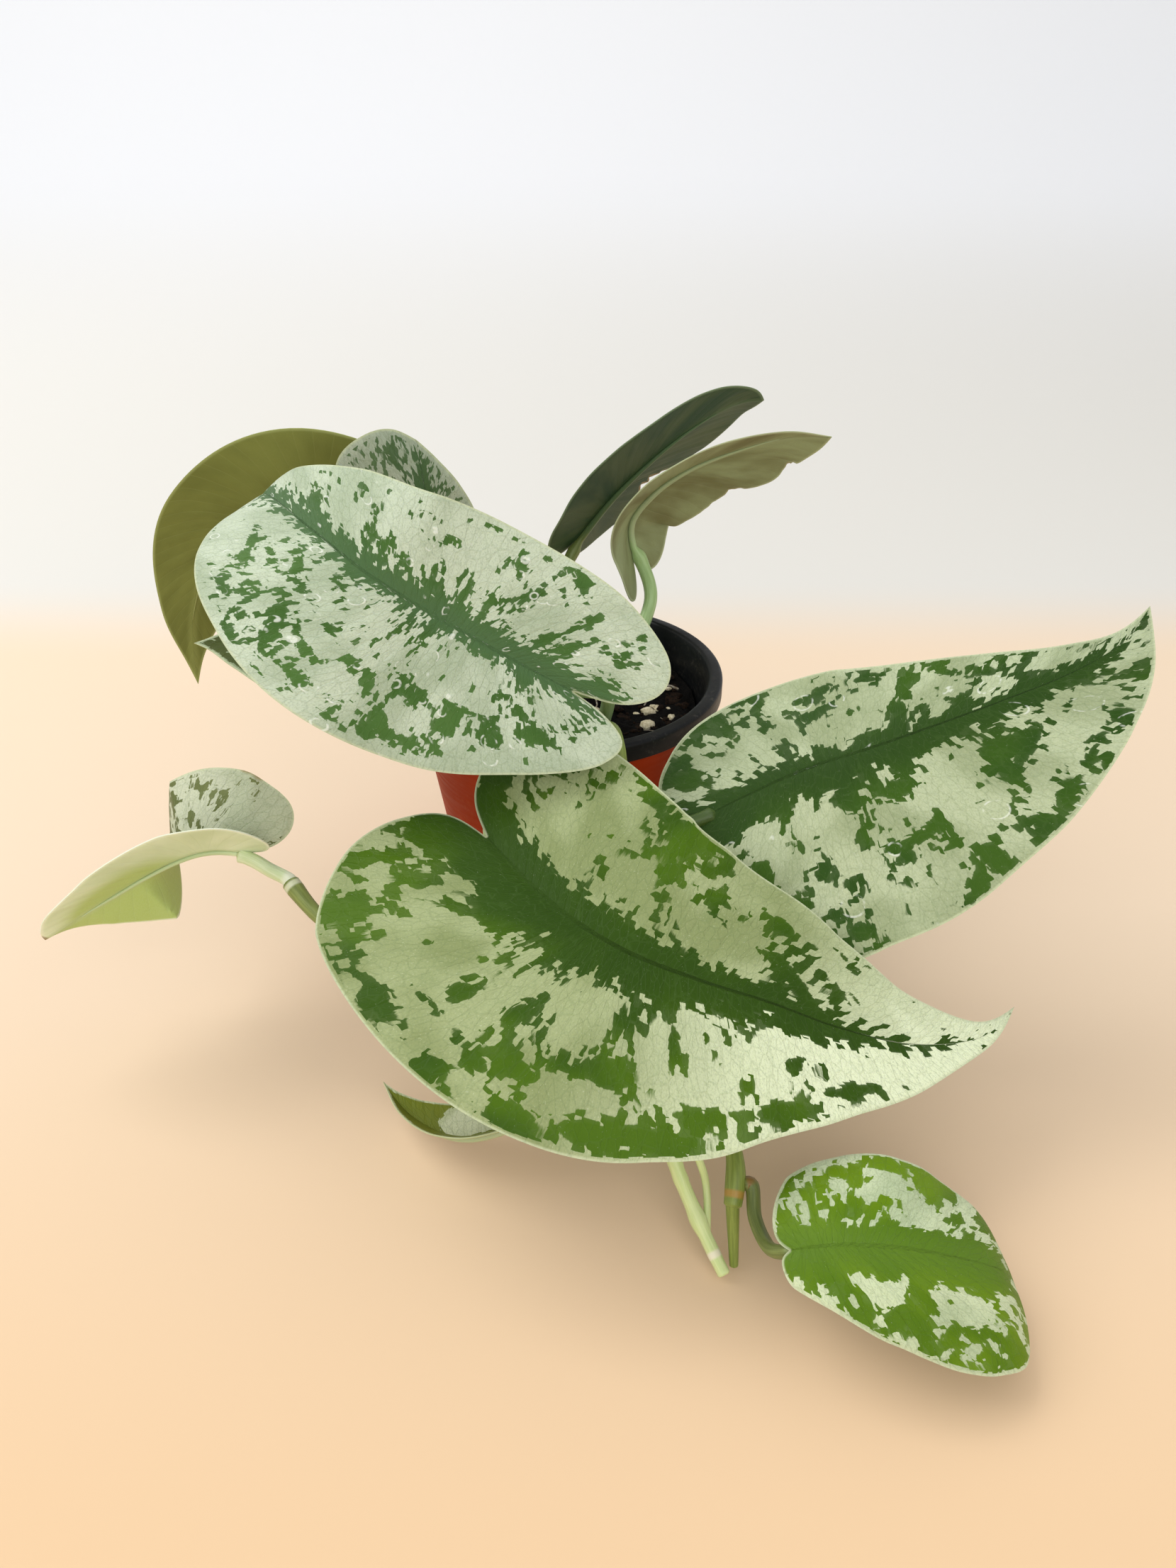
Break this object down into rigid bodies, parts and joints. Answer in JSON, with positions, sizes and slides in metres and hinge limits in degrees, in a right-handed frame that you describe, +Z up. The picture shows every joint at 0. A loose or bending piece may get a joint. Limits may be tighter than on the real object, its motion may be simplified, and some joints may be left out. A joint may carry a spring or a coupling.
{
  "type": "potted satin pothos",
  "caption": "Trailing house plant with large heart-shaped silver-blotched leaves in a small round nursery pot.",
  "frame": {"origin": "centre of the pot's flat underside, on the surface that it stands on", "axes": "+Z up; the picture's camera looks along +Y, with +X to its right and the stems trailing to -Y"},
  "size_m": [0.3352, 0.2993, 0.1767],
  "materials": {
    "terracotta_plastic": "moulded polypropylene, satin",
    "black_plastic": "moulded polypropylene, satin",
    "potting_mix": "damp peat and bark crumb with perlite",
    "vine_bark": "smooth olive stem skin",
    "young_stem": "smooth pale green stem skin",
    "silver_leaf": "satin upper face, silver patches on green",
    "leaf_underside": "matt olive and pale green underside"
  },
  "bodies": {
    "root": {"pot_shell": "terracotta_plastic", "pot_liner": "black_plastic", "soil": "potting_mix", "vine_left": "vine_bark", "vine_front": "vine_bark", "young_shoot": "young_stem", "leaf_top": "silver_leaf", "leaf_front": "silver_leaf", "leaf_right": "silver_leaf", "leaf_low_right": "silver_leaf", "leaf_upper": "silver_leaf", "leaf_under": "silver_leaf", "leaf_left": "leaf_underside", "leaf_back_left": "leaf_underside", "leaf_back_dark": "leaf_underside", "leaf_back_right": "leaf_underside", "leaf_small": "leaf_underside"}
  },
  "joints": []
}
